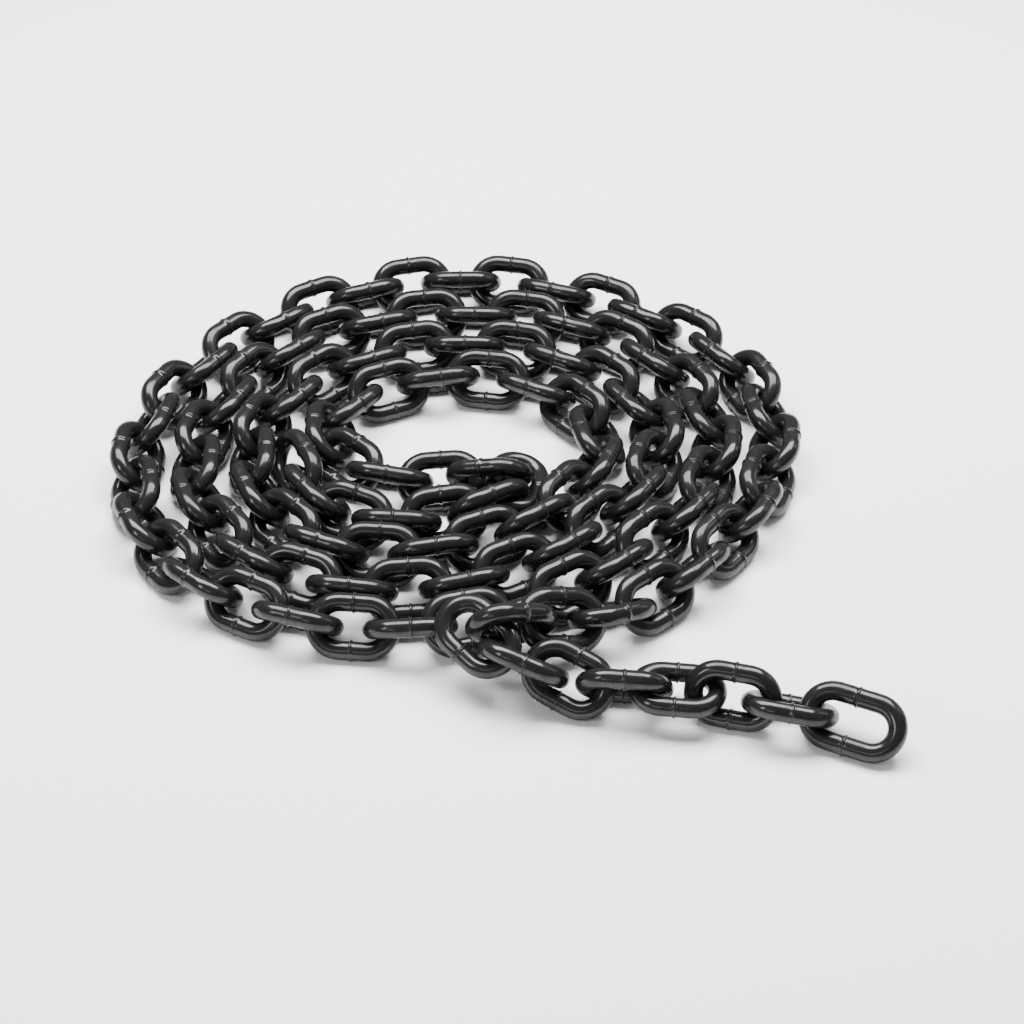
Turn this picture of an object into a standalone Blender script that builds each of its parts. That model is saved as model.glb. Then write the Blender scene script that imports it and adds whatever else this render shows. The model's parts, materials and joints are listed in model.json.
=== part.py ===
"""Heap of short-link lifting chain: one length of chain, laid down as a loose coil with a short tail.

Each link is a round bar bent to an oval. Neighbouring links hang in each other at right angles, and on the floor
they lean to the left and to the right by turns. The chain follows a route that is chosen by hand: the tail, four
turns that spiral inwards, and an inner end that doubles back. Links that touch are fused in short runs, and
a small gap parts one run from the next.
"""

import math

import bmesh
import bpy
import numpy as np
from mathutils import Matrix, Vector
from mathutils.geometry import interpolate_bezier

MM = 0.001

# The link, from the diameter of its bar
BAR = 10.0 * MM
PITCH = 3.0 * BAR
INSIDE_WIDTH = 1.5 * BAR
END_PITCH = 3.6 * BAR
CROWN_RADIUS = (INSIDE_WIDTH + BAR) / 2

# The bar's section and the bends have few sides, and the section keeps the area of the round bar
BAR_SIDES = 8
BEND_STEPS = 8
AREA_RADIUS = BAR / 2 * math.sqrt(2 * math.pi / (BAR_SIDES * math.sin(2 * math.pi / BAR_SIDES)))
FLAT_RADIUS = AREA_RADIUS * math.cos(math.pi / BAR_SIDES)
MITRE = 1 / math.cos(math.pi / BEND_STEPS)

# How the links lie: degrees from upright, to the left of the chain's course where positive
LEAN = 45
LEAN_SWAY = 4
SWAY_RATE = 0.9

# Bars of one run are pressed together where they hang in each other, and a gap parts all others. It is wider
# between links that lie side by side, where the corners of the faceted bends can meet.
FUSED_REACH = 0.945 * BAR
PARTED_REACH = BAR + 0.6 * MM
CLEAR_REACH = BAR + 1.1 * MM
RUN_LENGTH = 3

# Seating: rounds of small moves, the share of each error taken per move, and how easily a link turns
SEAT_ROUNDS = 150
SEAT_SHARE = 0.6
SWING_RADIUS = 1.5 * BAR
NEAR_REACH = 5.4 * BAR
SETTLE_DROP = 0.02 * MM

# Links laid by hand, from the tail's free end on: centre in millimetres, heading, climb and lean in degrees
FIRST_LINKS = [
    ((204, -229, 14), 149, 0, -48), ((174, -221, 12), 173, 0, 60), ((141, -217, 14), 170, 0, -28),
    ((114, -205, 10), 175, -10, 92), ((86, -207, 14), 172, 0, 38), ((59, -200, 18), 156, 19, -45),
    ((38, -196, 24), 161, 19, 45), ((15, -182, 30), 138, 7, -60), ((33, -174, 33), 24, -20, -26),
    ((58, -163, 25), 18, -17, 48), ((83, -150, 18), 25, -10, -52),
]
TAIL_SINGLES = 8

# Route of the coil: where it starts, then its radius in millimetres at equal steps of azimuth, against the clock
COIL_START = (96, -148)
FIRST_AZIMUTH = -45
AZIMUTH_STEP = 22.5
TURN_RADII = [
    [174, 177, 182, 175, 160, 154, 152, 150, 154, 162, 176, 185, 182, 172],
    [159, 148, 141, 147, 149, 140, 129, 121, 117, 118, 125, 131, 143, 152, 152, 142],
    [129, 118, 112, 115, 118, 105, 96, 88, 85, 86, 93, 100, 112, 119, 122, 111],
    [101, 92, 85, 86, 84, 74, 64, 57, 54, 53, 60, 68, 77],
]
COIL_END = [(-71, -19), (-49, -35), (-21, -40)]
COIL_LINKS = 98

# The links that turn the inner end back, laid by hand in the same way, and the route of its last links
TURN_BACK = [
    ((-5, -39, 13), 1, 6, 60), ((19, -42, 18), -17, 18, -33), ((35, -49, 15), -93, -4, 107),
    ((19, -65, 16), 212, 1, 31), ((-4, -74, 14), 201, -3, -43),
]
RETURN_ROUTE = [(-18, -78), (-41, -79), (-62, -68), (-80, -46), (-91, -19)]
RETURN_LINKS = 4
LAST_LINK = len(FIRST_LINKS) + COIL_LINKS + len(TURN_BACK) + RETURN_LINKS - 1

STEEL = {"colour": (0.045, 0.047, 0.052, 1.0), "metallic": 0.9, "roughness": 0.32}


def clear_scene():
    """Remove whatever the scene holds."""
    for old in list(bpy.data.objects):
        bpy.data.objects.remove(old, do_unlink=True)


def coil_route():
    """Points of the coil's route, in millimetres."""
    points = [COIL_START]
    azimuth = math.radians(FIRST_AZIMUTH)
    for turn in TURN_RADII:
        for radius in turn:
            points.append((radius * math.cos(azimuth), radius * math.sin(azimuth)))
            azimuth += math.radians(AZIMUTH_STEP)
    return points + COIL_END


def smooth_path(route, steps=16):
    """A smooth line through the route's points, as a closely spaced list."""
    points = [Vector((x, y, 0)) * MM for x, y in route]
    line = []
    last = len(points) - 1
    for i in range(last):
        before, start, end, after = points[max(i - 1, 0)], points[i], points[i + 1], points[min(i + 2, last)]
        third = (end - start).length / 3
        leave = start + (end - before).normalized() * third
        arrive = end - (after - start).normalized() * third
        line += interpolate_bezier(start, leave, arrive, end, steps + 1)[:-1]
    return line + [points[last]]


def equal_steps(line, count):
    """Points that divide the line into equal lengths."""
    run = [0.0]
    for start, end in zip(line, line[1:]):
        run.append(run[-1] + (end - start).length)
    marks = []
    for k in range(count + 1):
        target = run[-1] * k / count
        at = next((i for i in range(1, len(run)) if run[i] >= target), len(run) - 1)
        share = (target - run[at - 1]) / (run[at] - run[at - 1])
        marks.append(line[at - 1].lerp(line[at], share))
    return marks


def lean_of(index):
    """How far a link leans from upright, to the left of the chain's course where positive."""
    amount = LEAN + LEAN_SWAY * math.sin(SWAY_RATE * index)
    return math.radians(amount if index % 2 else -amount)


def pitch_of(index):
    """Inside length of a link: the tail's free end link is longer than the rest."""
    return PITCH if index else END_PITCH


def is_parted(index):
    """Whether a gap parts this link from the one before: the tail's links are single, the rest are in runs."""
    return index <= TAIL_SINGLES or index == LAST_LINK or (index - TAIL_SINGLES) % RUN_LENGTH == 0


def link_place(centre, along, lean):
    """Place of a link: its centre, its long axis and the direction of its upper limb."""
    left = Vector((0, 0, 1)).cross(along).normalized()
    limb = along.cross(left) * math.cos(lean) + left * math.sin(lean)
    return centre, along, limb


def lay_by_hand(links):
    """Places of links from their centres, headings, climbs and leans."""
    places = []
    for centre, heading, climb, lean in links:
        heading, climb = math.radians(heading), math.radians(climb)
        level = Vector((math.cos(heading), math.sin(heading), 0)) * math.cos(climb)
        along = level + Vector((0, 0, math.sin(climb)))
        places.append(link_place(Vector(centre) * MM, along, math.radians(lean)))
    return places


def lay_along(route, count, first):
    """Places of links in equal steps along a route. They lean by turns, and the first one leans as number first."""
    marks = equal_steps(smooth_path(route), count)
    lay = CROWN_RADIUS * math.cos(math.radians(LEAN)) + FLAT_RADIUS
    places = []
    for i, (start, end) in enumerate(zip(marks, marks[1:])):
        centre = (start + end) / 2 + Vector((0, 0, lay))
        places.append(link_place(centre, (end - start).normalized(), lean_of(first + i)))
    return places


def spread(point, pitch):
    """A point of a ring, moved along X so that the ring becomes a link of this pitch."""
    return Vector((point.x + math.copysign((pitch - INSIDE_WIDTH) / 2, point.x), point.y, point.z))


def bend_corners(pitch):
    """Corners of the middle line of a link's bar, in the link's plane."""
    start = Vector((CROWN_RADIUS * MITRE, 0, 0))
    turns = [(k + 0.5) * 2 * math.pi / BEND_STEPS for k in range(BEND_STEPS)]
    return [spread(Matrix.Rotation(turn, 3, "Z") @ start, pitch) for turn in turns]


def rings_of(centres, along, limb, samples=12):
    """Points along the middle of every link's bar."""
    share = np.arange(samples)[:, None] / samples
    rings = []
    for i in range(len(centres)):
        corners = np.array([list(corner) for corner in bend_corners(pitch_of(i))])
        following = np.roll(corners, -1, axis=0)
        flat = (corners[:, None] + (following - corners)[:, None] * share).reshape(-1, 3)
        rings.append(centres[i] + flat[:, :1] * along[i] + flat[:, 1:2] * limb[i])
    return np.array(rings)


def nearest(rings_a, rings_b, stride=2):
    """Nearest points of each pair of rings: found on a few points first, then on all the points near those."""
    count = np.arange(len(rings_a))
    size = rings_a.shape[1]
    window = np.arange(-stride, stride + 1)
    gap = np.linalg.norm(rings_a[:, ::stride, None] - rings_b[:, None, ::stride], axis=3)
    a, b = np.divmod(gap.reshape(len(count), -1).argmin(axis=1), gap.shape[2])
    near_a = rings_a[count[:, None], (a[:, None] * stride + window) % size]
    near_b = rings_b[count[:, None], (b[:, None] * stride + window) % size]
    gap = np.linalg.norm(near_a[:, :, None] - near_b[:, None], axis=3)
    a, b = np.divmod(gap.reshape(len(count), -1).argmin(axis=1), len(window))
    return near_a[count, a], near_b[count, b]


def seat(places):
    """Nudge the links until each hangs right in its neighbours, clears the others and lies on the floor."""
    centres, along, limb = (np.array([list(place[k]) for place in places]) for k in range(3))
    parted = np.array([is_parted(i) for i in range(len(places))])
    for _ in range(SEAT_ROUNDS):
        rings = rings_of(centres, along, limb)
        shift = np.zeros_like(centres)
        turn = np.zeros_like(centres)
        spacing = np.linalg.norm(centres[:, None] - centres[None], axis=2)
        i, j = np.nonzero(np.triu(spacing < NEAR_REACH, 1))
        point_i, point_j = nearest(rings[i], rings[j])
        distance = np.linalg.norm(point_i - point_j, axis=1)
        hooked = np.where(parted[j], PARTED_REACH, FUSED_REACH) - distance
        error = np.where(j == i + 1, hooked, np.maximum(CLEAR_REACH - distance, 0))
        direction = (point_i - point_j) / distance[:, None]
        arm_i = np.cross(point_i - centres[i], direction) / SWING_RADIUS
        arm_j = np.cross(point_j - centres[j], direction) / SWING_RADIUS
        move = (SEAT_SHARE * error / (2 + (arm_i ** 2 + arm_j ** 2).sum(axis=1)))[:, None]
        np.add.at(shift, i, move * direction)
        np.add.at(shift, j, -move * direction)
        np.add.at(turn, i, move * arm_i / SWING_RADIUS)
        np.add.at(turn, j, -move * arm_j / SWING_RADIUS)

        low = rings[np.arange(len(rings)), rings[:, :, 2].argmin(axis=1)]
        depth = AREA_RADIUS - low[:, 2]
        arm = np.cross(low - centres, (0, 0, 1)) / SWING_RADIUS
        lift = np.where(depth > 0, SEAT_SHARE * depth / (1 + (arm ** 2).sum(axis=1)), 0)
        shift[:, 2] += np.where(depth > 0, lift, np.maximum(depth, -SETTLE_DROP))
        turn += lift[:, None] * arm / SWING_RADIUS

        centres += shift
        along += np.cross(turn, along)
        limb += np.cross(turn, limb)
        along /= np.linalg.norm(along, axis=1)[:, None]
        limb -= along * (along * limb).sum(axis=1)[:, None]
        limb /= np.linalg.norm(limb, axis=1)[:, None]
    return list(zip(centres, along, limb))


def chain_places():
    """Places of all links, from the tail's free end to the inner free end."""
    places = lay_by_hand(FIRST_LINKS)
    places += lay_along(coil_route(), COIL_LINKS, len(places))
    places += lay_by_hand(TURN_BACK)
    places += lay_along(RETURN_ROUTE, RETURN_LINKS, 1)
    return seat(places)


def link_mesh(name, pitch):
    """Mesh of one link at the origin: its long axis along X, and its limbs up and down Y."""
    link = bmesh.new()
    bmesh.ops.create_circle(link, segments=BAR_SIDES, radius=AREA_RADIUS)
    flats_inward = Matrix.Rotation(math.pi / BAR_SIDES, 4, "Z")
    upright = Matrix.Rotation(math.pi / 2, 4, "X")
    first_bend = Matrix.Rotation(math.pi / BEND_STEPS, 4, "Z") @ Matrix.Translation((CROWN_RADIUS, 0, 0))
    link.transform(first_bend @ upright @ flats_inward)
    bmesh.ops.spin(link, geom=link.verts[:] + link.edges[:], cent=(0, 0, 0), axis=(0, 0, 1),
                   angle=2 * math.pi, steps=BEND_STEPS, use_merge=True)
    bmesh.ops.scale(link, vec=(MITRE, MITRE, 1), verts=link.verts)
    for corner in link.verts:
        corner.co = spread(corner.co, pitch)
    bmesh.ops.recalc_face_normals(link, faces=link.faces)
    mesh = bpy.data.meshes.new(name)
    link.to_mesh(mesh)
    link.free()
    mesh.shade_smooth()
    return mesh


def link_frame(place):
    """Matrix that puts a link at its place."""
    centre, along, limb = (Vector(value) for value in place)
    return Matrix.Translation(centre) @ Matrix((along, limb, along.cross(limb))).transposed().to_4x4()


def add_link(collection, name, place, pitch):
    """Add one link to the collection at its place."""
    link = bpy.data.objects.new(name, link_mesh(name, pitch))
    link.matrix_world = link_frame(place)
    collection.objects.link(link)
    return link


def fuse(run, others):
    """Join links that touch into one closed body."""
    for other in others:
        union = run.modifiers.new("union", "BOOLEAN")
        union.operation = "UNION"
        union.solver = "EXACT"
        union.object = other
    fused = bpy.data.meshes.new_from_object(run.evaluated_get(bpy.context.evaluated_depsgraph_get()))
    run.modifiers.clear()
    run.data = fused
    fused.name = run.name
    for other in others:
        bpy.data.objects.remove(other, do_unlink=True)


def steel(name):
    """Dark steel for one node."""
    material = bpy.data.materials.new(name + "_steel")
    material.use_nodes = True
    shader = material.node_tree.nodes["Principled BSDF"]
    shader.inputs["Base Color"].default_value = STEEL["colour"]
    shader.inputs["Metallic"].default_value = STEEL["metallic"]
    shader.inputs["Roughness"].default_value = STEEL["roughness"]
    material.diffuse_color = STEEL["colour"]
    return material


def node_name(index):
    """Name of the node that begins at a link."""
    if index == 0:
        return "tail_end_link"
    if index == LAST_LINK:
        return "inner_end_link"
    if index < TAIL_SINGLES:
        return "tail_link_%d" % (index + 1)
    return "coil_links_%02d" % ((index - TAIL_SINGLES) // RUN_LENGTH + 1)


def centre_on_origin(chain):
    """Move the links so that the chain's box stands centred on the origin."""
    bpy.context.view_layer.update()
    points = np.array([link.matrix_world @ corner.co for link in chain.objects for corner in link.data.vertices])
    low, high = points.min(axis=0), points.max(axis=0)
    shift = Vector(((low[0] + high[0]) / 2, (low[1] + high[1]) / 2, low[2]))
    for link in chain.objects:
        link.location -= shift
    bpy.context.view_layer.update()


def main():
    clear_scene()
    chain = bpy.data.collections.new("lifting_chain")
    bpy.context.scene.collection.children.link(chain)
    runs = []
    for index, place in enumerate(chain_places()):
        link = add_link(chain, node_name(index), place, pitch_of(index))
        if is_parted(index):
            runs.append([])
        runs[-1].append(link)
    centre_on_origin(chain)
    for run, *others in runs:
        if others:
            fuse(run, others)
        run.data.materials.clear()
        run.data.materials.append(steel(run.name))


if __name__ == "__main__":
    main()
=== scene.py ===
"""Looks of a heap of short-link lifting chain: black links, laid down as a loose coil with a short tail.

Each link is one round bar, bent to an oval, with a weld collar on both limbs. The links lie where the solids
lie. Because their bars are round here, they are nudged once more, until those of the coil touch.
"""

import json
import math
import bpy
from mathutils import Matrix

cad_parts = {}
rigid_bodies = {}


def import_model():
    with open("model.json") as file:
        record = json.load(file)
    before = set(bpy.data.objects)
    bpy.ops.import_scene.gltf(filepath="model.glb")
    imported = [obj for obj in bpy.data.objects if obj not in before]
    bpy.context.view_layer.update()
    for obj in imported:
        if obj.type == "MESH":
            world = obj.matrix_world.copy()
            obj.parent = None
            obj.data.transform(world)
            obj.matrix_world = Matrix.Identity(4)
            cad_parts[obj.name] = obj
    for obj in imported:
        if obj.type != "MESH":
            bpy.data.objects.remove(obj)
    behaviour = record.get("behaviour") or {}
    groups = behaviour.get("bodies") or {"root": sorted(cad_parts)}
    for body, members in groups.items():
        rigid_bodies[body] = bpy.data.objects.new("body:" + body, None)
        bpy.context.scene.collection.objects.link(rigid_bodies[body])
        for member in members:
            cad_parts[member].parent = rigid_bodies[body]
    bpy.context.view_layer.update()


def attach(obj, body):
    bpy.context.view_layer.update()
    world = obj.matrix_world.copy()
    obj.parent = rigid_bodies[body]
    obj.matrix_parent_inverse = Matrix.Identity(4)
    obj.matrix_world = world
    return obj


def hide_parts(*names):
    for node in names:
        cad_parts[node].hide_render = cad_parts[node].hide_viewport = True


bl_info = {
    "name": "Heap of Lifting Chain",
    "version": (1, 0, 0),
    "blender": (4, 5, 0),
    "location": "View3D > Sidebar > Chain",
    "description": "Makes the links, the steel and the studio for a coil of short-link lifting chain",
    "category": "Object",
}

import bpy
import numpy as np
from bpy.props import FloatProperty, FloatVectorProperty, IntProperty, PointerProperty
from mathutils import Matrix, Vector
from mathutils.geometry import interpolate_bezier

for old in list(bpy.data.objects):
    bpy.data.objects.remove(old, do_unlink=True)
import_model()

MM = 0.001

# The link, from the diameter of its bar
BAR = 10.0 * MM
PITCH = 3.0 * BAR
INSIDE_WIDTH = 1.5 * BAR
END_PITCH = 3.6 * BAR
CROWN_RADIUS = (INSIDE_WIDTH + BAR) / 2

# The solids' bars are faceted: sides of the section, corners of the middle line, and how far they stand out
BAR_SIDES = 8
BEND_STEPS = 8
AREA_RADIUS = BAR / 2 * math.sqrt(2 * math.pi / (BAR_SIDES * math.sin(2 * math.pi / BAR_SIDES)))
FLAT_RADIUS = AREA_RADIUS * math.cos(math.pi / BAR_SIDES)
MITRE = 1 / math.cos(math.pi / BEND_STEPS)

# How the links lie: degrees from upright, to the left of the chain's course where positive
LEAN = 45
LEAN_SWAY = 4
SWAY_RATE = 0.9

# Distances between the middle lines of the faceted bars: fused, parted by a gap, and side by side
FUSED_REACH = 0.945 * BAR
PARTED_REACH = BAR + 0.6 * MM
CLEAR_REACH = BAR + 1.1 * MM
RUN_LENGTH = 3

# Seating: rounds of small moves, the share of each error taken per move, and how easily a link turns
SEAT_ROUNDS = 150
SEAT_SHARE = 0.6
SWING_RADIUS = 1.5 * BAR
NEAR_REACH = 5.4 * BAR
SETTLE_DROP = 0.02 * MM

# The same for the round bars. The tail's links keep the reach that they have as solids, and so its length.
ROUND_BEND_STEPS = 24
ROUND_SAMPLES = 4
ROUND_ROUNDS = 60
ROUND_REACH = BAR + 0.05 * MM
ROUND_CLEAR = BAR + 0.25 * MM
FLOOR_LIFT = 0.3 * MM

# Links given one by one, from the tail's free end on: centre in millimetres, heading, climb and lean in
# degrees
FIRST_LINKS = [
    ((204, -229, 14), 149, 0, -48), ((174, -221, 12), 173, 0, 60), ((141, -217, 14), 170, 0, -28),
    ((114, -205, 10), 175, -10, 92), ((86, -207, 14), 172, 0, 38), ((59, -200, 18), 156, 19, -45),
    ((38, -196, 24), 161, 19, 45), ((15, -182, 30), 138, 7, -60), ((33, -174, 33), 24, -20, -26),
    ((58, -163, 25), 18, -17, 48), ((83, -150, 18), 25, -10, -52),
]
TAIL_SINGLES = 8

# Route of the coil: its start, then its radius in millimetres at equal steps of azimuth, anticlockwise
COIL_START = (96, -148)
FIRST_AZIMUTH = -45
AZIMUTH_STEP = 22.5
TURN_RADII = [
    [174, 177, 182, 175, 160, 154, 152, 150, 154, 162, 176, 185, 182, 172],
    [159, 148, 141, 147, 149, 140, 129, 121, 117, 118, 125, 131, 143, 152, 152, 142],
    [129, 118, 112, 115, 118, 105, 96, 88, 85, 86, 93, 100, 112, 119, 122, 111],
    [101, 92, 85, 86, 84, 74, 64, 57, 54, 53, 60, 68, 77],
]
COIL_END = [(-71, -19), (-49, -35), (-21, -40)]
COIL_LINKS = 98

# The links that turn the inner end back, given in the same way, and the route of its last links
TURN_BACK = [
    ((-5, -39, 13), 1, 6, 60), ((19, -42, 18), -17, 18, -33), ((35, -49, 15), -93, -4, 107),
    ((19, -65, 16), 212, 1, 31), ((-4, -74, 14), 201, -3, -43),
]
RETURN_ROUTE = [(-18, -78), (-41, -79), (-62, -68), (-80, -46), (-91, -19)]
RETURN_LINKS = 4
LAST_LINK = len(FIRST_LINKS) + COIL_LINKS + len(TURN_BACK) + RETURN_LINKS - 1

# Camera, in millimetres and degrees, fitted to the photograph
CAMERA_AT = (13.6, -1050.1, 873.3)
CAMERA_LOOKS_DOWN = 40
CAMERA_LENS = 86.1

# The weld collar on each limb, and how it wanders from the limb's middle, from one run of links to the next
COLLAR_HEIGHT = 0.65 * MM
COLLAR_WIDTH = 0.9 * MM
COLLAR_WANDER = 0.5 * MM
WANDER_RATE = 2.4
WANDER_START = 1.0
WELD_ROUGHNESS = 0.35 * MM
WELD_GRAIN = 420.0

# The fine groove in the collar's flank, and where it lies as a share of the collar's width
GROOVE_DEPTH = 0.5 * MM
GROOVE_WIDTH = 0.25 * MM
GROOVE_PLACE = 0.75

# How finely the round bars are divided
ROUND_SIDES = 20
CROWN_STEPS = 20
LIMB_STEPS = 34

# Points of the middle line nearer than this are one
JOIN_REACH = 0.01 * MM

# Where links rub: how far round the bar to its inner side, and how far along the crown to its middle. Then
# what share of the rub is patchy, how much rougher it is, and how much of its paleness a weld has.
RUB_INWARD = (0.3, 1.0)
RUB_CROWN = (0.15, 0.6)
SCUFFED_SHARE = 0.6
RUB_ROUGHER = 0.08
WELD_PALER = 0.12

# The oil film: what is left of it where the steel is matt, and between which views its gloss fades
MATT_OIL = 0.7
RIM_START = 0.45
RIM_END = 0.9

# The fine forge scale: its height, and how far from a pit's middle its edge and its floor lie, in cells
RELIEF_DEPTH = 0.1 * MM
PIT_EDGE = 0.32
PIT_FLOOR = 0.12

# Studio lights: name, place and size in metres, and the setting of their power. All face the origin.
STUDIO_LIGHTS = (
    ("top_light", (0.0, 0.42, 1.3), (1.7, 0.8), "top"),
    ("left_light", (-1.0, -0.9, 1.0), (0.35, 0.6), "left"),
    ("right_light", (1.4, 0.4, 0.9), (0.4, 0.7), "right"),
    ("front_light", (-0.5, -1.6, 0.9), (0.7, 0.5), "front"),
)
FLOOR_SHADE = 0.985


def coil_route():
    """Points of the coil's route, in millimetres."""
    points = [COIL_START]
    azimuth = math.radians(FIRST_AZIMUTH)
    for turn in TURN_RADII:
        for radius in turn:
            points.append((radius * math.cos(azimuth), radius * math.sin(azimuth)))
            azimuth += math.radians(AZIMUTH_STEP)
    return points + COIL_END


def smooth_path(route, steps=16):
    """A smooth line through the route's points, as a closely spaced list."""
    points = [Vector((x, y, 0)) * MM for x, y in route]
    line = []
    last = len(points) - 1
    for i in range(last):
        start, end = points[i], points[i + 1]
        before, after = points[max(i - 1, 0)], points[min(i + 2, last)]
        third = (end - start).length / 3
        leave = start + (end - before).normalized() * third
        arrive = end - (after - start).normalized() * third
        line += interpolate_bezier(start, leave, arrive, end, steps + 1)[:-1]
    return line + [points[last]]


def equal_steps(line, count):
    """Points that divide the line into equal lengths."""
    run = [0.0]
    for start, end in zip(line, line[1:]):
        run.append(run[-1] + (end - start).length)
    marks = []
    for k in range(count + 1):
        target = run[-1] * k / count
        at = next((i for i in range(1, len(run)) if run[i] >= target), len(run) - 1)
        share = (target - run[at - 1]) / (run[at] - run[at - 1])
        marks.append(line[at - 1].lerp(line[at], share))
    return marks


def lean_of(index):
    """How far a link leans from upright, to the left of the chain's course where positive."""
    amount = LEAN + LEAN_SWAY * math.sin(SWAY_RATE * index)
    return math.radians(amount if index % 2 else -amount)


def pitch_of(index):
    """Inside length of a link: the tail's free end link is longer than the rest."""
    return PITCH if index else END_PITCH


def is_parted(index):
    """Whether a link begins a run of links that share one solid."""
    return index <= TAIL_SINGLES or index == LAST_LINK or (index - TAIL_SINGLES) % RUN_LENGTH == 0


def link_place(centre, along, lean):
    """Place of a link: its centre, its long axis and the direction of its upper limb."""
    left = Vector((0, 0, 1)).cross(along).normalized()
    limb = along.cross(left) * math.cos(lean) + left * math.sin(lean)
    return centre, along, limb


def lay_by_hand(links):
    """Places of links from their centres, headings, climbs and leans."""
    places = []
    for centre, heading, climb, lean in links:
        heading, climb = math.radians(heading), math.radians(climb)
        level = Vector((math.cos(heading), math.sin(heading), 0)) * math.cos(climb)
        along = level + Vector((0, 0, math.sin(climb)))
        places.append(link_place(Vector(centre) * MM, along, math.radians(lean)))
    return places


def lay_along(route, count, first):
    """Places of links in equal steps along a route. They lean by turns, from the lean of link 'first' on."""
    marks = equal_steps(smooth_path(route), count)
    lay = CROWN_RADIUS * math.cos(math.radians(LEAN)) + FLAT_RADIUS
    places = []
    for i, (start, end) in enumerate(zip(marks, marks[1:])):
        centre = (start + end) / 2 + Vector((0, 0, lay))
        places.append(link_place(centre, (end - start).normalized(), lean_of(first + i)))
    return places


def spread(point, pitch):
    """A point of a ring, moved along X so that the ring becomes a link of this pitch."""
    return Vector((point.x + math.copysign((pitch - INSIDE_WIDTH) / 2, point.x), point.y, point.z))


def bend_corners(pitch, steps):
    """Corners of the middle line of a link's bar, in the link's plane."""
    start = Vector((CROWN_RADIUS / math.cos(math.pi / steps), 0, 0))
    turns = [(k + 0.5) * 2 * math.pi / steps for k in range(steps)]
    return [spread(Matrix.Rotation(turn, 3, "Z") @ start, pitch) for turn in turns]


def rings_of(centres, along, limb, steps, samples=12):
    """Points along the middle of every link's bar."""
    share = np.arange(samples)[:, None] / samples
    rings = []
    for i in range(len(centres)):
        corners = np.array([list(corner) for corner in bend_corners(pitch_of(i), steps)])
        following = np.roll(corners, -1, axis=0)
        flat = (corners[:, None] + (following - corners)[:, None] * share).reshape(-1, 3)
        rings.append(centres[i] + flat[:, :1] * along[i] + flat[:, 1:2] * limb[i])
    return np.array(rings)


def nearest(rings_a, rings_b, stride=2):
    """Nearest points of each pair of rings: found on a few points, then on all the points near those."""
    count = np.arange(len(rings_a))
    size = rings_a.shape[1]
    window = np.arange(-stride, stride + 1)
    gap = np.linalg.norm(rings_a[:, ::stride, None] - rings_b[:, None, ::stride], axis=3)
    a, b = np.divmod(gap.reshape(len(count), -1).argmin(axis=1), gap.shape[2])
    near_a = rings_a[count[:, None], (a[:, None] * stride + window) % size]
    near_b = rings_b[count[:, None], (b[:, None] * stride + window) % size]
    gap = np.linalg.norm(near_a[:, :, None] - near_b[:, None], axis=3)
    a, b = np.divmod(gap.reshape(len(count), -1).argmin(axis=1), len(window))
    return near_a[count, a], near_b[count, b]


def seat(places, rounds, ring, hooked_reach, clear_reach, floor):
    """Nudge the links until each hangs right in its neighbours, clears the others and lies on the floor."""
    centres, along, limb = (np.array([list(place[k]) for place in places]) for k in range(3))
    for _ in range(rounds):
        rings = rings_of(centres, along, limb, *ring)
        shift = np.zeros_like(centres)
        turn = np.zeros_like(centres)
        spacing = np.linalg.norm(centres[:, None] - centres[None], axis=2)
        i, j = np.nonzero(np.triu(spacing < NEAR_REACH, 1))
        point_i, point_j = nearest(rings[i], rings[j])
        distance = np.linalg.norm(point_i - point_j, axis=1)
        hooked = hooked_reach[j] - distance
        error = np.where(j == i + 1, hooked, np.maximum(clear_reach - distance, 0))
        direction = (point_i - point_j) / distance[:, None]
        arm_i = np.cross(point_i - centres[i], direction) / SWING_RADIUS
        arm_j = np.cross(point_j - centres[j], direction) / SWING_RADIUS
        move = (SEAT_SHARE * error / (2 + (arm_i ** 2 + arm_j ** 2).sum(axis=1)))[:, None]
        np.add.at(shift, i, move * direction)
        np.add.at(shift, j, -move * direction)
        np.add.at(turn, i, move * arm_i / SWING_RADIUS)
        np.add.at(turn, j, -move * arm_j / SWING_RADIUS)

        low = rings[np.arange(len(rings)), rings[:, :, 2].argmin(axis=1)]
        depth = floor - low[:, 2]
        arm = np.cross(low - centres, (0, 0, 1)) / SWING_RADIUS
        lift = np.where(depth > 0, SEAT_SHARE * depth / (1 + (arm ** 2).sum(axis=1)), 0)
        shift[:, 2] += np.where(depth > 0, lift, np.maximum(depth, -SETTLE_DROP))
        turn += lift[:, None] * arm / SWING_RADIUS

        centres += shift
        along += np.cross(turn, along)
        limb += np.cross(turn, limb)
        along /= np.linalg.norm(along, axis=1)[:, None]
        limb -= along * (along * limb).sum(axis=1)[:, None]
        limb /= np.linalg.norm(limb, axis=1)[:, None]
    return list(zip(centres, along, limb))


def link_frame(place):
    """Matrix that puts a link at its place."""
    centre, along, limb = (Vector(value) for value in place)
    return Matrix.Translation(centre) @ Matrix((along, limb, along.cross(limb))).transposed().to_4x4()


def faceted_corners(pitch):
    """Corner points of a link's solid, at the origin."""
    points = []
    for k in range(BEND_STEPS):
        bend = Matrix.Rotation((k + 0.5) * 2 * math.pi / BEND_STEPS, 3, "Z")
        for side in range(BAR_SIDES):
            angle = (side + 0.5) * 2 * math.pi / BAR_SIDES
            out = (CROWN_RADIUS + AREA_RADIUS * math.cos(angle)) * MITRE
            points.append(spread(bend @ Vector((out, 0, AREA_RADIUS * math.sin(angle))), pitch))
    return points


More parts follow.
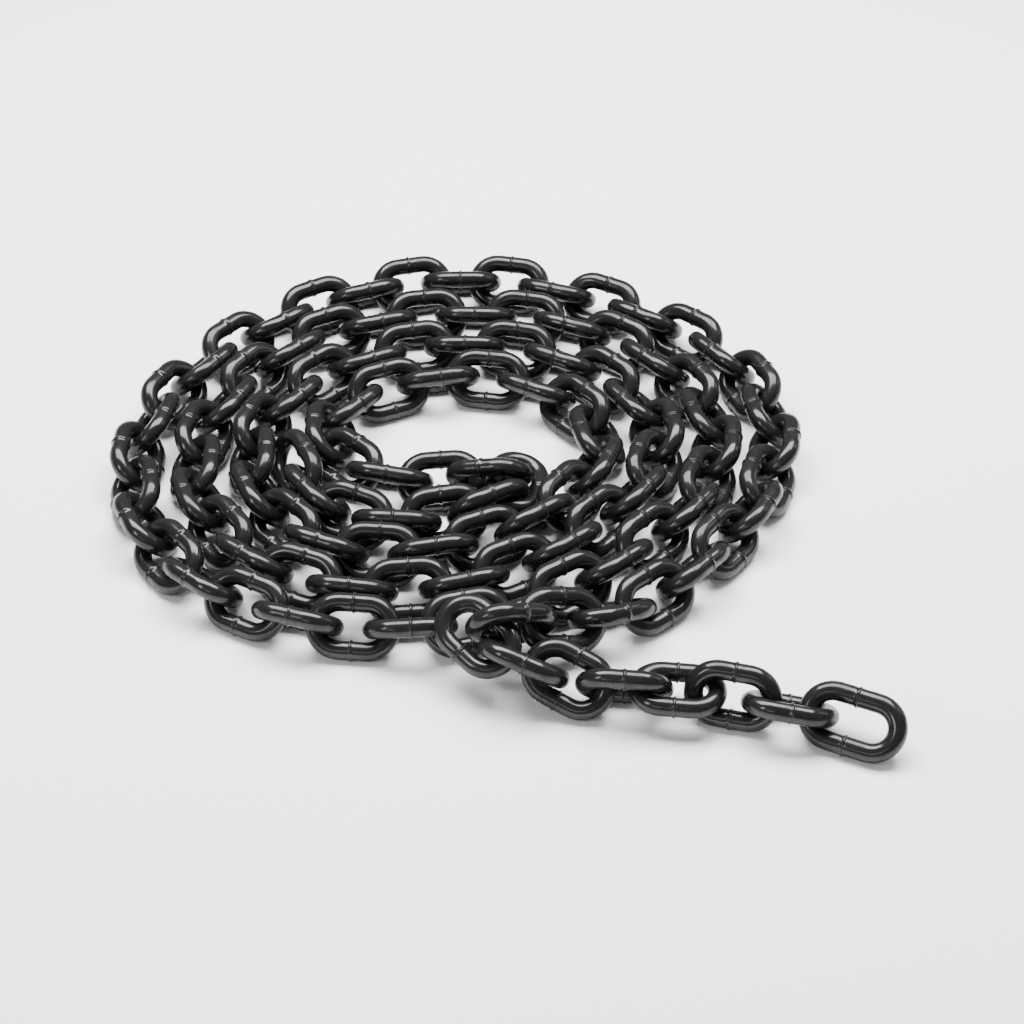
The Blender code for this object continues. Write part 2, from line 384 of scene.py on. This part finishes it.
def centred(places):
    """The places, moved so that the solids' box stands centred on the origin."""
    points = []
    for i, place in enumerate(places):
        to_place = link_frame(place)
        points += [to_place @ point for point in faceted_corners(pitch_of(i))]
    points = np.array([list(point) for point in points])
    low, high = points.min(axis=0), points.max(axis=0)
    shift = np.array([(low[0] + high[0]) / 2, (low[1] + high[1]) / 2, low[2]])
    return [(centre - shift, along, limb) for centre, along, limb in places]


def chain_places():
    """Places of all links, from the tail's end to the inner end: as the solids lie, then with round bars."""
    places = lay_by_hand(FIRST_LINKS)
    places += lay_along(coil_route(), COIL_LINKS, len(places))
    places += lay_by_hand(TURN_BACK)
    places += lay_along(RETURN_ROUTE, RETURN_LINKS, 1)
    parted = np.array([is_parted(i) for i in range(len(places))])
    solid_reach = np.where(parted, PARTED_REACH, FUSED_REACH)
    places = seat(places, SEAT_ROUNDS, (BEND_STEPS,), solid_reach, CLEAR_REACH, AREA_RADIUS)
    round_reach = np.where(np.arange(len(places)) <= TAIL_SINGLES, PARTED_REACH, ROUND_REACH)
    lowest = BAR / 2 + FLOOR_LIFT
    ring = (ROUND_BEND_STEPS, ROUND_SAMPLES)
    return seat(centred(places), ROUND_ROUNDS, ring, round_reach, ROUND_CLEAR, lowest)


def node_name(index):
    """Name of the node that begins at a link."""
    if index == 0:
        return "tail_end_link"
    if index == LAST_LINK:
        return "inner_end_link"
    if index < TAIL_SINGLES:
        return "tail_link_%d" % (index + 1)
    return "coil_links_%02d" % ((index - TAIL_SINGLES) // RUN_LENGTH + 1)


def plug(tree, value, socket):
    """Feed a socket with another socket's value, or with a plain one."""
    if isinstance(value, bpy.types.NodeSocket):
        tree.links.new(value, socket)
    else:
        socket.default_value = value


def add_node(tree, kind, inputs=None, **settings):
    """Add a node, set what it is, and feed the inputs that are named."""
    made = tree.nodes.new(kind)
    for name, value in settings.items():
        setattr(made, name, value)
    for name, value in (inputs or {}).items():
        plug(tree, value, made.inputs[name])
    return made


def sums(tree, operation, *values):
    """A math node's result."""
    made = tree.nodes.new("ShaderNodeMath")
    made.operation = operation
    for value, socket in zip(values, made.inputs):
        plug(tree, value, socket)
    return made.outputs["Value"]


def ramp(tree, value, low, high, out_low=0.0, out_high=1.0):
    """A value between two limits, smoothly turned into a share between two others."""
    inputs = {"Value": value, "From Min": low, "From Max": high, "To Min": out_low, "To Max": out_high}
    made = add_node(tree, "ShaderNodeMapRange", inputs, interpolation_type="SMOOTHSTEP")
    return made.outputs["Result"]


def hump(tree, distance, width):
    """A bell-shaped bump of height one."""
    share = sums(tree, "DIVIDE", distance, width)
    return sums(tree, "EXPONENT", sums(tree, "MULTIPLY", sums(tree, "MULTIPLY", share, share), -1.0))


LINK_SOCKETS = (
    ("Bar", "NodeSocketFloat", BAR),
    ("Pitch", "NodeSocketFloat", PITCH),
    ("Inside Width", "NodeSocketFloat", INSIDE_WIDTH),
    ("Collar Height", "NodeSocketFloat", COLLAR_HEIGHT),
    ("Collar Width", "NodeSocketFloat", COLLAR_WIDTH),
    ("Collar Offset", "NodeSocketFloat", 0.0),
    ("Groove Depth", "NodeSocketFloat", GROOVE_DEPTH),
    ("Groove Width", "NodeSocketFloat", GROOVE_WIDTH),
    ("Roughness of Weld", "NodeSocketFloat", WELD_ROUGHNESS),
    ("Bar Sides", "NodeSocketInt", ROUND_SIDES),
    ("Bend Steps", "NodeSocketInt", CROWN_STEPS),
    ("Limb Steps", "NodeSocketInt", LIMB_STEPS),
    ("Steel", "NodeSocketMaterial", None),
)


def place_of(tree):
    """A point's coordinates, one by one."""
    return add_node(tree, "ShaderNodeSeparateXYZ", {
        0: add_node(tree, "GeometryNodeInputPosition").outputs[0]}).outputs


def middle_line(tree, bend, half, bend_steps, limb_steps):
    """The middle line of a link's bar, as one closed curve. Its points are closest together at the welds."""
    parts = []
    for side, start in ((1.0, -math.pi / 2), (-1.0, math.pi / 2)):
        crown = add_node(tree, "GeometryNodeCurveArc", {
            "Resolution": sums(tree, "ADD", bend_steps, 1.0), "Radius": bend,
            "Start Angle": start, "Sweep Angle": math.pi})
        out = add_node(tree, "ShaderNodeCombineXYZ", {"X": sums(tree, "MULTIPLY", half, side)})
        moved = add_node(tree, "GeometryNodeTransform", {
            "Geometry": crown.outputs[0], "Translation": out.outputs[0]})
        parts.append(moved.outputs[0])
    for side in (1.0, -1.0):
        line = add_node(tree, "GeometryNodeCurvePrimitiveLine", {"Start": (-1, 0, 0), "End": (1, 0, 0)})
        points = add_node(tree, "GeometryNodeResampleCurve", {
            "Curve": line.outputs[0], "Count": sums(tree, "ADD", limb_steps, 1.0)})
        share = place_of(tree)["X"]
        crowded = sums(tree, "MULTIPLY", share, sums(tree, "SQRT", sums(tree, "ABSOLUTE", share)))
        place = add_node(tree, "ShaderNodeCombineXYZ", {
            "X": sums(tree, "MULTIPLY", crowded, half), "Y": sums(tree, "MULTIPLY", bend, side)})
        limb = add_node(tree, "GeometryNodeSetPosition", {
            "Geometry": points.outputs[0], "Position": place.outputs[0]})
        parts.append(limb.outputs[0])
    joined = add_node(tree, "GeometryNodeJoinGeometry")
    for part in parts:
        tree.links.new(part, joined.inputs[0])
    wire = add_node(tree, "GeometryNodeCurveToMesh", {"Curve": joined.outputs[0]})
    closed = add_node(tree, "GeometryNodeMergeByDistance", {
        "Geometry": wire.outputs[0], "Distance": JOIN_REACH})
    return add_node(tree, "GeometryNodeMeshToCurve", {"Mesh": closed.outputs[0]}).outputs[0]


def rub_mask(tree, bend, half, bar):
    """How near a point lies to the middle of a crown's inner side, where the next link rubs."""
    at = place_of(tree)
    out = sums(tree, "SUBTRACT", sums(tree, "ABSOLUTE", at["X"]), half)
    radius = sums(tree, "SQRT", sums(tree, "ADD", sums(tree, "POWER", out, 2.0),
                                     sums(tree, "POWER", at["Y"], 2.0)))
    inward = sums(tree, "DIVIDE", sums(tree, "SUBTRACT", bend, radius), sums(tree, "MULTIPLY", bar, 0.5))
    crown = sums(tree, "DIVIDE", out, bend)
    return sums(tree, "MULTIPLY", ramp(tree, inward, *RUB_INWARD), ramp(tree, crown, *RUB_CROWN))


def store(tree, geometry, name, value):
    """Keep a value on the geometry under a name."""
    made = add_node(tree, "GeometryNodeStoreNamedAttribute", {
        "Geometry": geometry, "Name": name, "Value": value}, data_type="FLOAT", domain="POINT")
    return made.outputs[0]


def link_tree():
    """Geometry nodes that turn points into links: the point's own 'turn' says how each one lies."""
    tree = bpy.data.node_groups.new("Chain link", "GeometryNodeTree")
    tree.interface.new_socket("Geometry", in_out="INPUT", socket_type="NodeSocketGeometry")
    for name, kind, value in LINK_SOCKETS:
        socket = tree.interface.new_socket(name, in_out="INPUT", socket_type=kind)
        if value is not None:
            socket.default_value = value
    tree.interface.new_socket("Geometry", in_out="OUTPUT", socket_type="NodeSocketGeometry")
    given = add_node(tree, "NodeGroupInput").outputs
    bar = given["Bar"]
    bend = sums(tree, "MULTIPLY", sums(tree, "ADD", given["Inside Width"], bar), 0.5)
    half = sums(tree, "MULTIPLY", sums(tree, "SUBTRACT", given["Pitch"], given["Inside Width"]), 0.5)
    line = middle_line(tree, bend, half, given["Bend Steps"], given["Limb Steps"])

    from_weld = sums(tree, "SUBTRACT", place_of(tree)["X"], given["Collar Offset"])
    collar = hump(tree, from_weld, given["Collar Width"])
    beside = sums(tree, "ADD", from_weld, sums(tree, "MULTIPLY", given["Collar Width"], GROOVE_PLACE))
    groove = hump(tree, beside, given["Groove Width"])
    line = store(tree, line, "weld", collar)
    proud = sums(tree, "SUBTRACT", sums(tree, "MULTIPLY", collar, given["Collar Height"]),
                 sums(tree, "MULTIPLY", groove, given["Groove Depth"]))
    radius = sums(tree, "MULTIPLY", bar, 0.5)
    section = add_node(tree, "GeometryNodeCurvePrimitiveCircle", {
        "Resolution": given["Bar Sides"], "Radius": radius})
    swept = add_node(tree, "GeometryNodeCurveToMesh", {
        "Curve": line, "Profile Curve": section.outputs[0],
        "Scale": sums(tree, "ADD", sums(tree, "DIVIDE", proud, radius), 1.0)})
    link = store(tree, swept.outputs[0], "rub", rub_mask(tree, bend, half, bar))

    turn = add_node(tree, "GeometryNodeInputNamedAttribute", {"Name": "turn"}, data_type="FLOAT_VECTOR")
    rotation = add_node(tree, "FunctionNodeEulerToRotation", {"Euler": turn.outputs[0]})
    placed = add_node(tree, "GeometryNodeInstanceOnPoints", {
        "Points": given["Geometry"], "Instance": link, "Rotation": rotation.outputs[0]})
    solid = add_node(tree, "GeometryNodeRealizeInstances", {"Geometry": placed.outputs[0]})

    weld = add_node(tree, "GeometryNodeInputNamedAttribute", {"Name": "weld"}, data_type="FLOAT")
    noise = add_node(tree, "ShaderNodeTexNoise", {"Scale": WELD_GRAIN, "Detail": 2.0})
    # The noise lies between 0 and 1, so its distance from a half is doubled to reach the whole roughness
    uneven = sums(tree, "MULTIPLY", sums(tree, "SUBTRACT", noise.outputs[0], 0.5), weld.outputs[0])
    amount = sums(tree, "MULTIPLY", uneven, sums(tree, "MULTIPLY", given["Roughness of Weld"], 2.0))
    push = add_node(tree, "ShaderNodeVectorMath", {
        0: add_node(tree, "GeometryNodeInputNormal").outputs[0], "Scale": amount}, operation="SCALE")
    welded = add_node(tree, "GeometryNodeSetPosition", {
        "Geometry": solid.outputs[0], "Offset": push.outputs[0]})
    smooth = add_node(tree, "GeometryNodeSetShadeSmooth", {"Geometry": welded.outputs[0]})
    finished = add_node(tree, "GeometryNodeSetMaterial", {
        "Geometry": smooth.outputs[0], "Material": given["Steel"]})
    last = add_node(tree, "NodeGroupOutput")
    tree.links.new(finished.outputs[0], last.inputs["Geometry"])
    return tree


def shader_group(name, inputs, outputs):
    """An empty shader group with named sockets, with its input and output nodes."""
    group = bpy.data.node_groups.new(name, "ShaderNodeTree")
    for title, kind, value in inputs:
        group.interface.new_socket(title, in_out="INPUT", socket_type=kind).default_value = value
    for title, kind in outputs:
        group.interface.new_socket(title, in_out="OUTPUT", socket_type=kind)
    return group, add_node(group, "NodeGroupInput").outputs, add_node(group, "NodeGroupOutput").inputs


def mottle_group():
    """Soft uneven patches: one share between 0 and 1 that varies over the surface."""
    group, given, result = shader_group(
        "Mottle",
        (("Scale", "NodeSocketFloat", 60.0), ("Low", "NodeSocketFloat", 0.4),
         ("High", "NodeSocketFloat", 0.6)),
        (("Share", "NodeSocketFloat"),))
    place = add_node(group, "ShaderNodeTexCoord").outputs["Object"]
    noise = add_node(group, "ShaderNodeTexNoise", {
        "Vector": place, "Scale": given["Scale"], "Detail": 4.0, "Roughness": 0.55})
    share = ramp(group, noise.outputs[0], given["Low"], given["High"])
    group.links.new(share, result["Share"])
    return group


def scale_group():
    """Fine forge scale: the height of its grains and shallow pits."""
    group, given, result = shader_group(
        "Forge scale",
        (("Grain", "NodeSocketFloat", 900.0), ("Pits", "NodeSocketFloat", 260.0),
         ("Pit Depth", "NodeSocketFloat", 0.6)),
        (("Height", "NodeSocketFloat"),))
    place = add_node(group, "ShaderNodeTexCoord").outputs["Object"]
    grain = add_node(group, "ShaderNodeTexNoise", {
        "Vector": place, "Scale": given["Grain"], "Detail": 3.0})
    cells = add_node(group, "ShaderNodeTexVoronoi", {"Vector": place, "Scale": given["Pits"]})
    pit = ramp(group, cells.outputs["Distance"], PIT_EDGE, PIT_FLOOR)
    sunk = sums(group, "MULTIPLY", pit, given["Pit Depth"])
    group.links.new(sums(group, "SUBTRACT", grain.outputs[0], sunk), result["Height"])
    return group


def mixed(tree, share, first, second):
    """A colour between two others. The mix node has its colours at inputs 6 and 7 and at output 2."""
    made = tree.nodes.new("ShaderNodeMix")
    made.data_type = "RGBA"
    plug(tree, share, made.inputs[0])
    plug(tree, first, made.inputs[6])
    plug(tree, second, made.inputs[7])
    return made.outputs[2]


def placed_group(tree, group, **values):
    """A shader group in a material, with its own values."""
    made = tree.nodes.new("ShaderNodeGroup")
    made.node_tree = group
    for name, value in values.items():
        plug(tree, value, made.inputs[name.replace("_", " ").title()])
    return made.outputs


def attribute(tree, name):
    """A value that the geometry carries under a name."""
    return add_node(tree, "ShaderNodeAttribute", attribute_name=name).outputs["Fac"]


def blackened_steel(finish, mottle, scale):
    """Hardened, blackened and oiled steel: near black, rubbed at the crowns, a little paler at the welds."""
    material = bpy.data.materials.new("blackened_steel")
    material.use_nodes = True
    tree = material.node_tree
    shader = tree.nodes["Principled BSDF"]

    blue = placed_group(tree, mottle, scale=28.0, low=0.5, high=0.68)["Share"]
    brown = placed_group(tree, mottle, scale=45.0, low=0.54, high=0.7)["Share"]
    colour = mixed(tree, blue, tuple(finish.black), tuple(finish.blue_cast))
    colour = mixed(tree, brown, colour, tuple(finish.brown_cast))
    rub = attribute(tree, "rub")
    scuffs = placed_group(tree, mottle, scale=320.0, low=0.42, high=0.6)["Share"]
    scuffed = sums(tree, "ADD", sums(tree, "MULTIPLY", scuffs, SCUFFED_SHARE), 1.0 - SCUFFED_SHARE)
    rubbed = sums(tree, "MULTIPLY", rub, scuffed)
    colour = mixed(tree, sums(tree, "MULTIPLY", rubbed, finish.rub), colour, tuple(finish.rubbed_steel))
    weld = sums(tree, "MULTIPLY", attribute(tree, "weld"), WELD_PALER)
    colour = mixed(tree, weld, colour, tuple(finish.rubbed_steel))
    tree.links.new(colour, shader.inputs["Base Color"])

    smears = placed_group(tree, mottle, scale=90.0, low=0.4, high=0.66)["Share"]
    roughness = ramp(tree, smears, 0.0, 1.0, finish.gloss_low, finish.gloss_high)
    roughness = sums(tree, "ADD", roughness, sums(tree, "MULTIPLY", rubbed, RUB_ROUGHER))
    tree.links.new(roughness, shader.inputs["Roughness"])
    shader.inputs["Metallic"].default_value = finish.metallic
    shader.inputs["Specular IOR Level"].default_value = finish.specular
    shader.inputs["Coat Roughness"].default_value = finish.oil_gloss
    shader.inputs["Coat IOR"].default_value = finish.oil_index
    film = ramp(tree, smears, 0.0, 1.0, finish.oil, finish.oil * MATT_OIL)
    facing = add_node(tree, "ShaderNodeLayerWeight", {"Blend": 0.5}).outputs["Facing"]
    fade = ramp(tree, facing, RIM_START, RIM_END, 1.0, finish.oil_rim)
    tree.links.new(sums(tree, "MULTIPLY", film, fade), shader.inputs["Coat Weight"])

    relief = placed_group(tree, scale, grain=1100.0, pits=330.0, pit_depth=0.5)
    bump = add_node(tree, "ShaderNodeBump", {
        "Height": relief["Height"], "Strength": finish.relief, "Distance": RELIEF_DEPTH})
    tree.links.new(bump.outputs[0], shader.inputs["Normal"])
    material.diffuse_color = tuple(finish.black)
    return material


def pale_floor(look, mottle):
    """Plain pale studio floor."""
    material = bpy.data.materials.new("pale_floor")
    material.use_nodes = True
    tree = material.node_tree
    shader = tree.nodes["Principled BSDF"]
    shade = placed_group(tree, mottle, scale=1.5, low=0.3, high=0.7)["Share"]
    pale = tuple(look.floor_colour)
    dimmer = tuple(value * FLOOR_SHADE for value in pale[:3]) + (1.0,)
    tree.links.new(mixed(tree, shade, pale, dimmer), shader.inputs["Base Color"])
    shader.inputs["Roughness"].default_value = 0.75
    shader.inputs["Specular IOR Level"].default_value = 0.3
    return material


class ChainLinkSizes(bpy.types.PropertyGroup):
    """Sizes of one link."""

    bar: FloatProperty(name="Bar", description="Diameter of the round bar", default=BAR, unit="LENGTH")
    pitch: FloatProperty(name="Pitch", description="Inside length of a link", default=PITCH, unit="LENGTH")
    end_pitch: FloatProperty(name="End Pitch", description="Inside length of the tail's free end link",
                             default=END_PITCH, unit="LENGTH")
    inside_width: FloatProperty(name="Inside Width", description="Clear width between the limbs",
                                default=INSIDE_WIDTH, unit="LENGTH")
    collar_height: FloatProperty(name="Collar Height", description="How proud the weld collar stands",
                                 default=COLLAR_HEIGHT, unit="LENGTH")
    collar_width: FloatProperty(name="Collar Width", description="Half width of the weld collar",
                                default=COLLAR_WIDTH, unit="LENGTH")
    collar_wander: FloatProperty(name="Collar Wander", description="How far a weld may lie off the middle",
                                 default=COLLAR_WANDER, unit="LENGTH")
    groove_depth: FloatProperty(name="Groove Depth", description="Depth of the groove in the collar's flank",
                                default=GROOVE_DEPTH, unit="LENGTH")
    groove_width: FloatProperty(name="Groove Width", description="Half width of that groove",
                                default=GROOVE_WIDTH, unit="LENGTH")
    weld_roughness: FloatProperty(name="Weld Roughness", description="Unevenness of the collar",
                                  default=WELD_ROUGHNESS, unit="LENGTH")
    bar_sides: IntProperty(name="Bar Sides", description="Sides of the round section", default=ROUND_SIDES)
    bend_steps: IntProperty(name="Bend Steps", description="Steps along each crown", default=CROWN_STEPS)
    limb_steps: IntProperty(name="Limb Steps", description="Steps along each limb", default=LIMB_STEPS)


class ChainFinish(bpy.types.PropertyGroup):
    """Finish of the steel."""

    black: FloatVectorProperty(name="Black", description="Colour of the blackened bar",
                               subtype="COLOR", size=4, default=(0.0076, 0.0075, 0.0076, 1.0),
                               min=0, max=1)
    blue_cast: FloatVectorProperty(name="Blue Cast", description="Colour of the bluish patches",
                                   subtype="COLOR", size=4, default=(0.0071, 0.0076, 0.0086, 1.0),
                                   min=0, max=1)
    brown_cast: FloatVectorProperty(name="Brown Cast", description="Colour of the brownish patches",
                                    subtype="COLOR", size=4, default=(0.009, 0.0082, 0.0074, 1.0),
                                    min=0, max=1)
    rubbed_steel: FloatVectorProperty(name="Rubbed Steel", description="Colour where links rub",
                                      subtype="COLOR", size=4, default=(0.04, 0.039, 0.037, 1.0),
                                      min=0, max=1)
    rub: FloatProperty(name="Rub", description="Share of the black that is rubbed off", default=0.3)
    metallic: FloatProperty(name="Metallic", description="How metallic the surface is", default=0.1)
    specular: FloatProperty(name="Specular", description="Strength of the plain reflection", default=0.1)
    oil: FloatProperty(name="Oil", description="How much of the surface the oil film covers", default=0.42)
    oil_gloss: FloatProperty(name="Oil Roughness", description="Roughness of the oil film", default=0.13)
    oil_index: FloatProperty(name="Oil Index", description="Refraction index of the oil film", default=1.6)
    oil_rim: FloatProperty(name="Oil Rim", description="Share of the oil's gloss at a glancing view",
                           default=0.35)
    gloss_low: FloatProperty(name="Smooth", description="Roughness of the scale where it is smooth",
                             default=0.26)
    gloss_high: FloatProperty(name="Matt", description="Roughness of the scale where it is matt",
                              default=0.4)
    relief: FloatProperty(name="Relief", description="Strength of the fine forge scale", default=0.12)


class ChainStage(bpy.types.PropertyGroup):
    """Floor and light."""

    floor_colour: FloatVectorProperty(name="Floor", description="Colour of the floor", subtype="COLOR",
                                      size=4, default=(0.93, 0.93, 0.93, 1.0), min=0, max=1)
    floor_size: FloatProperty(name="Floor Size", description="Side of the floor", default=12.0,
                              unit="LENGTH")
    world: FloatProperty(name="Surroundings", description="Brightness of the room", default=0.35)
    top: FloatProperty(name="Top Light", description="Power of the overhead light", default=98.0)
    left: FloatProperty(name="Left Light", description="Power of the left light", default=7.0)
    right: FloatProperty(name="Right Light", description="Power of the right light", default=7.0 / 3)
    front: FloatProperty(name="Front Light", description="Power of the front light", default=2.5)


# What the operators share
CHAIN_LOOK = {}


def chain_look():
    """The node tree, the steel and the places of the links, made once."""
    if not CHAIN_LOOK:
        CHAIN_LOOK["tree"] = link_tree()
        CHAIN_LOOK["places"] = chain_places()
        CHAIN_LOOK["mottle"] = mottle_group()
        CHAIN_LOOK["steel"] = blackened_steel(
            bpy.context.scene.chain_finish, CHAIN_LOOK["mottle"], scale_group())
    return CHAIN_LOOK


def add_links(first):
    """Make the run of links that begins at a link, in place of its solid."""
    look = chain_look()
    sizes = bpy.context.scene.chain_sizes
    places = look["places"]
    last = first + 1
    while last < len(places) and not is_parted(last):
        last += 1
    name = node_name(first)
    points = bpy.data.meshes.new(name + "_points")
    points.from_pydata([list(places[i][0]) for i in range(first, last)], [], [])
    turns = points.attributes.new("turn", "FLOAT_VECTOR", "POINT")
    for k, i in enumerate(range(first, last)):
        turns.data[k].vector = link_frame(places[i]).to_euler()
    run = bpy.data.objects.new(name + "_round", points)
    bpy.context.scene.collection.objects.link(run)

    values = {
        "Bar": sizes.bar, "Pitch": sizes.pitch if first else sizes.end_pitch,
        "Inside Width": sizes.inside_width,
        "Collar Height": sizes.collar_height, "Collar Width": sizes.collar_width,
        "Collar Offset": sizes.collar_wander * math.sin(WANDER_RATE * first + WANDER_START),
        "Groove Depth": sizes.groove_depth, "Groove Width": sizes.groove_width,
        "Roughness of Weld": sizes.weld_roughness, "Bar Sides": sizes.bar_sides,
        "Bend Steps": sizes.bend_steps, "Limb Steps": sizes.limb_steps, "Steel": look["steel"],
    }
    nodes = run.modifiers.new("links", "NODES")
    nodes.node_group = look["tree"]
    for socket in look["tree"].interface.items_tree:
        if socket.item_type == "SOCKET" and socket.in_out == "INPUT" and socket.name in values:
            nodes[socket.identifier] = values[socket.name]
    solid = bpy.data.meshes.new_from_object(run.evaluated_get(bpy.context.evaluated_depsgraph_get()))
    run.modifiers.clear()
    run.data = solid
    solid.name = run.name
    bpy.data.meshes.remove(points)

    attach(run, "root")
    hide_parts(name)


def add_soft_box(name, at, size, power):
    """A rectangular studio light at a place, turned towards the origin."""
    light = bpy.data.lights.new(name, "AREA")
    light.shape = "RECTANGLE"
    light.size, light.size_y = size
    light.energy = power
    lamp = bpy.data.objects.new(name, light)
    lamp.location = at
    lamp.rotation_euler = (-Vector(at)).to_track_quat("-Z", "Y").to_euler()
    bpy.context.scene.collection.objects.link(lamp)


class CHAIN_OT_tail(bpy.types.Operator):
    """Make the tail's single links, from its free end to where it meets the coil"""

    bl_idname = "chain.tail"
    bl_label = "Tail Links"

    def execute(self, context):
        for first in range(TAIL_SINGLES):
            add_links(first)
        return {"FINISHED"}


class CHAIN_OT_coil(bpy.types.Operator):
    """Make the links of the coil, run by run"""

    bl_idname = "chain.coil"
    bl_label = "Coil Links"

    def execute(self, context):
        for first in range(TAIL_SINGLES, LAST_LINK):
            if is_parted(first):
                add_links(first)
        return {"FINISHED"}


class CHAIN_OT_inner_end(bpy.types.Operator):
    """Make the free link at the chain's inner end"""

    bl_idname = "chain.inner_end"
    bl_label = "Inner End Link"

    def execute(self, context):
        add_links(LAST_LINK)
        return {"FINISHED"}


class CHAIN_OT_stage(bpy.types.Operator):
    """Make the pale floor, the soft studio lights and the camera"""

    bl_idname = "chain.stage"
    bl_label = "Floor, Lights and Camera"

    def execute(self, context):
        scene = context.scene
        look = scene.chain_stage
        half = look.floor_size / 2
        corners = [(-half, -half, 0), (half, -half, 0), (half, half, 0), (-half, half, 0)]
        mesh = bpy.data.meshes.new("studio_floor")
        mesh.from_pydata([(x, y, z + FLOOR_LIFT) for x, y, z in corners], [], [(0, 1, 2, 3)])
        mesh.materials.append(pale_floor(look, chain_look()["mottle"]))
        floor = bpy.data.objects.new("studio_floor", mesh)
        scene.collection.objects.link(floor)

        world = bpy.data.worlds.new("studio_room")
        world.use_nodes = True
        world.node_tree.nodes["Background"].inputs["Color"].default_value = (1, 1, 1, 1)
        world.node_tree.nodes["Background"].inputs["Strength"].default_value = look.world
        scene.world = world
        for name, at, size, setting in STUDIO_LIGHTS:
            add_soft_box(name, at, size, getattr(look, setting))

        lens = bpy.data.cameras.new("camera")
        lens.lens = CAMERA_LENS
        camera = bpy.data.objects.new("camera", lens)
        camera.location = Vector(CAMERA_AT) * MM
        camera.rotation_euler = (math.radians(90 - CAMERA_LOOKS_DOWN), 0, 0)
        scene.collection.objects.link(camera)
        scene.camera = camera
        return {"FINISHED"}


OPERATORS = (CHAIN_OT_tail, CHAIN_OT_coil, CHAIN_OT_inner_end, CHAIN_OT_stage)


class CHAIN_PT_panel(bpy.types.Panel):
    """Chain panel in the sidebar"""

    bl_idname = "CHAIN_PT_panel"
    bl_label = "Heap of Lifting Chain"
    bl_space_type = "VIEW_3D"
    bl_region_type = "UI"
    bl_category = "Chain"

    def draw(self, context):
        for group in (context.scene.chain_sizes, context.scene.chain_finish, context.scene.chain_stage):
            box = self.layout.box()
            for name in type(group).__annotations__:
                box.prop(group, name)
        for operator in OPERATORS:
            self.layout.operator(operator.bl_idname)


GROUPS = (("chain_sizes", ChainLinkSizes), ("chain_finish", ChainFinish), ("chain_stage", ChainStage))


def register():
    for name, group in GROUPS:
        bpy.utils.register_class(group)
        setattr(bpy.types.Scene, name, PointerProperty(type=group))
    for operator in OPERATORS:
        bpy.utils.register_class(operator)
    bpy.utils.register_class(CHAIN_PT_panel)


def unregister():
    bpy.utils.unregister_class(CHAIN_PT_panel)
    for operator in reversed(OPERATORS):
        bpy.utils.unregister_class(operator)
    for name, group in reversed(GROUPS):
        delattr(bpy.types.Scene, name)
        bpy.utils.unregister_class(group)


def main():
    register()
    bpy.ops.chain.tail()
    bpy.ops.chain.coil()
    bpy.ops.chain.inner_end()
    bpy.ops.chain.stage()


if __name__ == "__main__":
    main()
